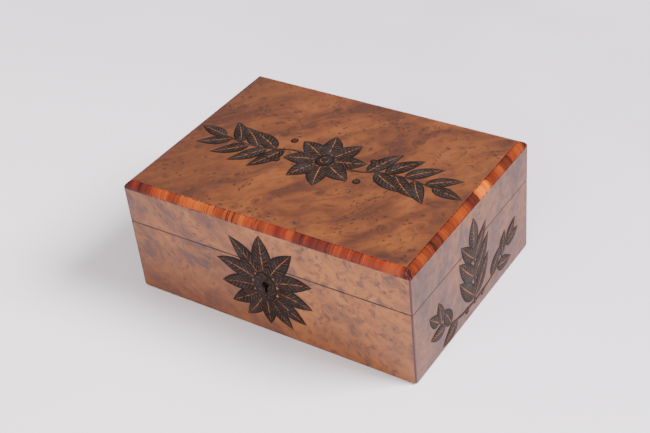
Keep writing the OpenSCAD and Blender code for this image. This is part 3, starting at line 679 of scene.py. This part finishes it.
def branch(relief, points, count, length, width, spread, first, start=1.1, end=0.5):
    """A stem with leaves to both sides in turn and one at its tip.

    First and last are the shares of the stem's length at which the row of leaves begins and ends.
    """
    last = 0.93
    curve = relief.stem(points, start, end)
    n = len(curve) - 1
    for k in range(count):
        t = first + (last - first) * k / (count - 1)
        i = min(int(t * n), n - 1)
        sign = 1 if k % 2 == 0 else -1
        size = 1.0 - 0.32 * abs(t - 0.4)
        angle = heading(curve[i], curve[i + 1]) + sign * spread
        relief.leaf(curve[i], angle, length * size, width * size, bend=-sign * 0.16)
    relief.leaf(curve[n], heading(curve[n - 1], curve[n]), length * 0.78, width * 0.8)


# On the top: a rosette in the middle with a leafy branch to each side.
top_art = Relief()
for k in range(8):
    angle = 45 * k + 12
    reach = Vector((math.cos(math.radians(angle)), math.sin(math.radians(angle)))) * 7
    top_art.leaf(tuple(reach), angle, 25, 16, bend=0.1, height=0.45)
top_art.dome((0, 0), 7.4, 0.6)
for sign in (1, -1):
    path = [(a * sign, b * sign) for a, b in ((13, -2.4), (30, -1.6), (46, 4), (66, 6), (87, 3))]
    branch(top_art, path, 7, 33, 13.5, 52, first=0.35)
    top_art.dome((35 * sign, -13 * sign), 3, 0.45)
    top_art.dome((33 * sign, 14 * sign), 2.5, 0.4)
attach(top_art.build("top_leaves", "top"), "lid")


def keyhole_edge(angle, grow=0.25):
    """A point on the keyhole's edge, in a direction from just below its centre."""
    x, z, reach = 0.0, -KEY_MIDDLE, 0.0
    foot = FOOT_R - FOOT_DROP
    while reach < 20:
        x, z = reach * math.cos(angle), -KEY_MIDDLE + reach * math.sin(angle)
        half = NECK_HALF + (FOOT_R - NECK_HALF) * min(1, max(0, z / foot)) + grow
        in_slot = foot <= z <= 0 and abs(x) < half
        if not (math.hypot(x, z) < HOLE_R + grow or in_slot or math.hypot(x, z - foot) < FOOT_R + grow):
            break
        reach += 0.05
    return KEY_X + x, KEY_Z + z


# On the front: broad leaves fanned out from just inside the edge of a shield round the keyhole.
SHIELD_RX, SHIELD_RZ, SHIELD_Z = 9.6, 13.4, KEY_Z - 1.5
FAN_RX, FAN_RZ = 8.8, 12.4
front_art = Relief()
turns = [2 * math.pi * i / 72 for i in range(72)]
outer = [(KEY_X + SHIELD_RX * math.cos(a), SHIELD_Z + SHIELD_RZ * math.sin(a)) for a in turns]
front_art.ring([keyhole_edge(a) for a in turns], outer, 0.5)
# Each leaf's direction in degrees, its length, its width and its bend.
FAN = ((90, 33, 17, 0), (57, 34, 15, -0.12), (123, 34, 15, 0.12), (25, 33, 15, -0.2), (155, 33, 15, 0.2),
       (-6, 31, 14, -0.1), (186, 31, 14, 0.1), (-90, 22, 13, 0), (-62, 26, 12, 0.15), (-118, 26, 12, -0.15),
       (-36, 30, 13, 0.05), (-144, 30, 13, -0.05))
for angle, length, width, bend in FAN:
    a = math.radians(angle)
    start = (KEY_X + FAN_RX * math.cos(a), SHIELD_Z + FAN_RZ * math.sin(a))
    front_art.leaf(start, angle, length, width, bend)
split_at_joint(front_art.build("front_leaves", "front"))

# On the right-hand side: an upright sprig between two low ones.
side_art = Relief()
side_art.stem([(0, 8), (0.8, 30), (0, 62)], 1.7, 0.9)
for height, size in ((14, 1.0), (31, 1.0), (47.5, 0.85)):
    for sign in (1, -1):
        side_art.leaf((0.8 * sign, height), 90 + 46 * sign, 35 * size, 14.5 * size, bend=-0.1 * sign)
side_art.leaf((0, 58), 90, 26, 14)
for sign in (1, -1):
    branch(side_art, [(2 * sign, 10), (22 * sign, 12), (40 * sign, 18), (52 * sign, 29)], 4, 24, 13, 46,
           first=0.45, start=1.4)
    side_art.dome((12 * sign, 9.6), 2.8, 0.4)
split_at_joint(side_art.build("side_leaves", "right"))


def felt_lining():
    """The baize on the floor: a laid sheet with soft edges and a slight unevenness."""
    low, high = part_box("floor_lining")
    x0, y0, z0 = low / MM
    x1, y1, z1 = high / MM
    nx, ny = 72, 50
    verts, faces = [], []
    for layer in (0, 1):
        for j in range(ny + 1):
            for i in range(nx + 1):
                x = x0 + (x1 - x0) * i / nx
                y = y0 + (y1 - y0) * j / ny
                edge = min(x - x0, x1 - x, y - y0, y1 - y)
                z = z0
                if layer:
                    wave = 0.06 * math.sin(x * 0.11 + 1.3) * math.cos(y * 0.13)
                    wave += 0.03 * math.sin(x * 0.31 + y * 0.27)
                    z = z1 - 0.1 + wave - 0.35 * math.exp(-edge / 1.2)
                verts.append((x, y, z))
    row = nx + 1
    count = row * (ny + 1)
    for j in range(ny):
        for i in range(nx):
            k = j * row + i
            faces.append((k, k + row, k + row + 1, k + 1))
            faces.append((count + k, count + k + 1, count + k + row + 1, count + k + row))
    rim = [i for i in range(nx)] + [nx + j * row for j in range(ny)]
    rim += [ny * row + i for i in range(nx, 0, -1)] + [j * row for j in range(ny, 0, -1)]
    for k, m in zip(rim, rim[1:] + rim[:1]):
        faces.append((k, m, count + m, count + k))
    cloth = make("baize_floor", verts, faces, looks["baize"])
    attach(cloth, "body")
    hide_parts("floor_lining")


felt_lining()


def slotted_screws(name, like, places, down, length, body):
    """Countersunk screws with slotted heads, in place of the plain ones of a node."""
    head, shank = SCREW_HEAD_R, SCREW_R
    sink = head - shank
    depths = (0, SLOT_DEEP, sink, length - 2 * shank, length)
    radii = (head, head - (head - shank) * SLOT_DEEP / sink, shank, shank, SCREW_TIP_R)
    n = 20
    axis = Vector(down)
    side = Vector((1, 0, 0))
    verts, faces = [], []
    for number, place in enumerate(places):
        # Each slot stands at an angle of its own.
        turn_by = math.radians(18 + 67 * number)
        across = side * math.cos(turn_by) + axis.cross(side) * math.sin(turn_by)
        along = axis.cross(across)
        loops = []
        for depth, radius in zip(depths, radii):
            loop = []
            opening = math.asin(SLOT_HALF / radius) if radius > SCREW_TIP_R else TIP_OPENING
            for half in (0, math.pi):
                for i in range(n + 1):
                    a = half + opening + (math.pi - 2 * opening) * i / n
                    outward = across * math.sin(a) + along * math.cos(a)
                    loop.append(len(verts))
                    verts.append(Vector(place) + axis * depth + outward * radius)
            loops.append(loop)
        top, low = loops[0], loops[1]
        m = 2 * n + 2
        for half in (0, n + 1):
            faces.append([top[half + i] for i in range(n + 1)])
            faces.append([top[half], top[half + n], low[half + n], low[half]])
            for i in range(half, half + n):
                faces.append([top[i + 1], top[i], low[i], low[i + 1]])
        faces.append([low[0], low[n], low[n + 1], low[m - 1]])
        for upper, under in zip(loops[1:], loops[2:]):
            for i in range(m):
                faces.append([upper[(i + 1) % m], upper[i], under[i], under[(i + 1) % m]])
        faces.append(loops[-1][::-1])
    obj = make(name, verts, faces, looks["screw"])
    bm = bmesh.new()
    bm.from_mesh(obj.data)
    bmesh.ops.recalc_face_normals(bm, faces=bm.faces)
    bm.to_mesh(obj.data)
    bm.free()
    obj.data.set_sharp_from_angle(angle=math.radians(30))
    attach(obj, body)
    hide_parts(like)


HINGE_PLACES = [(side * HINGE_X + x, HINGE_SCREW_Y) for side in (-1, 1) for x in HINGE_SCREW_XS]
LOCK_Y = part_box("lock_screws")[1].y / MM
LOCK_PLACES = [(x, LOCK_Y, z) for x in (-LOCK_SCREW_X, LOCK_SCREW_X) for z in LOCK_SCREW_ZS]
LINK_PLACES = [(x, LINK_SCREW_Y, LID_RIM) for x in (-LINK_SCREW_X, LINK_SCREW_X)]
slotted_screws("screws_hinge_body", "hinge_body_screws", [(*p, BODY_RIM) for p in HINGE_PLACES],
               (0, 0, -1), SCREW_LENGTH, "body")
slotted_screws("screws_hinge_lid", "hinge_lid_screws", [(*p, LID_RIM) for p in HINGE_PLACES],
               (0, 0, 1), SCREW_LENGTH, "lid")
slotted_screws("screws_lock", "lock_screws", LOCK_PLACES, (0, -1, 0), LOCK_SCREW_LENGTH, "body")
slotted_screws("screws_link", "link_screws", LINK_PLACES, (0, 0, 1), SCREW_LENGTH, "lid")

# A plain pale floor, with painted shade that makes it a little darker behind the box and to its right.
FLOOR_HALF = 4.0
floor_mesh = bpy.data.meshes.new("floor")
corners = [(x * FLOOR_HALF, y * FLOOR_HALF, 0) for x, y in ((-1, -1), (1, -1), (1, 1), (-1, 1))]
floor_mesh.from_pydata(corners, [], [(0, 1, 2, 3)])
floor = bpy.data.objects.new("floor", floor_mesh)
bpy.context.scene.collection.objects.link(floor)
pale = Shader("pale_floor")
soft = pale.noise(pale.place("xyz"), 5, 3, 0.5)
nearer = pale.math("SUBTRACT", pale.math("MULTIPLY", pale.part(pale.place("xyz"), 1), -1),
                   pale.math("MULTIPLY", pale.part(pale.place("xyz"), 0), 0.35))
painted_falloff = pale.mix(pale.span(nearer, -0.45, 0.3), rgb(208, 201, 211), rgb(252, 244, 249))
pale.set(Base_Color=pale.mix(pale.span(soft, 0.3, 0.7, 0, 0.3), painted_falloff, rgb(242, 236, 241)), Roughness=0.9)
floor_mesh.materials.append(pale.mat)


def area(name, at, aim, wide, high, power, colour):
    """A soft rectangular light of so many watts, aimed at a point."""
    data = bpy.data.lights.new(name, "AREA")
    data.shape = "RECTANGLE"
    data.size = wide
    data.size_y = high
    data.energy = power
    data.color = colour
    obj = bpy.data.objects.new(name, data)
    bpy.context.scene.collection.objects.link(obj)
    obj.location = at
    obj.rotation_euler = (Vector(aim) - Vector(at)).to_track_quat("-Z", "Y").to_euler()


area("window", (2.4, 0.9, 2.5), (0, 0, 0.05), 1.6, 1.6, 380, (0.98, 0.98, 1.0))
area("fill", (0.4, -2.8, 1.7), (0, 0, 0.05), 2.6, 1.8, 106, (1.0, 0.98, 0.98))

world = bpy.data.worlds.new("room")
world.use_nodes = True
background = world.node_tree.nodes["Background"]
background.inputs["Color"].default_value = (1.0, 0.955, 0.95, 1)
background.inputs["Strength"].default_value = 0.6
bpy.context.scene.world = world
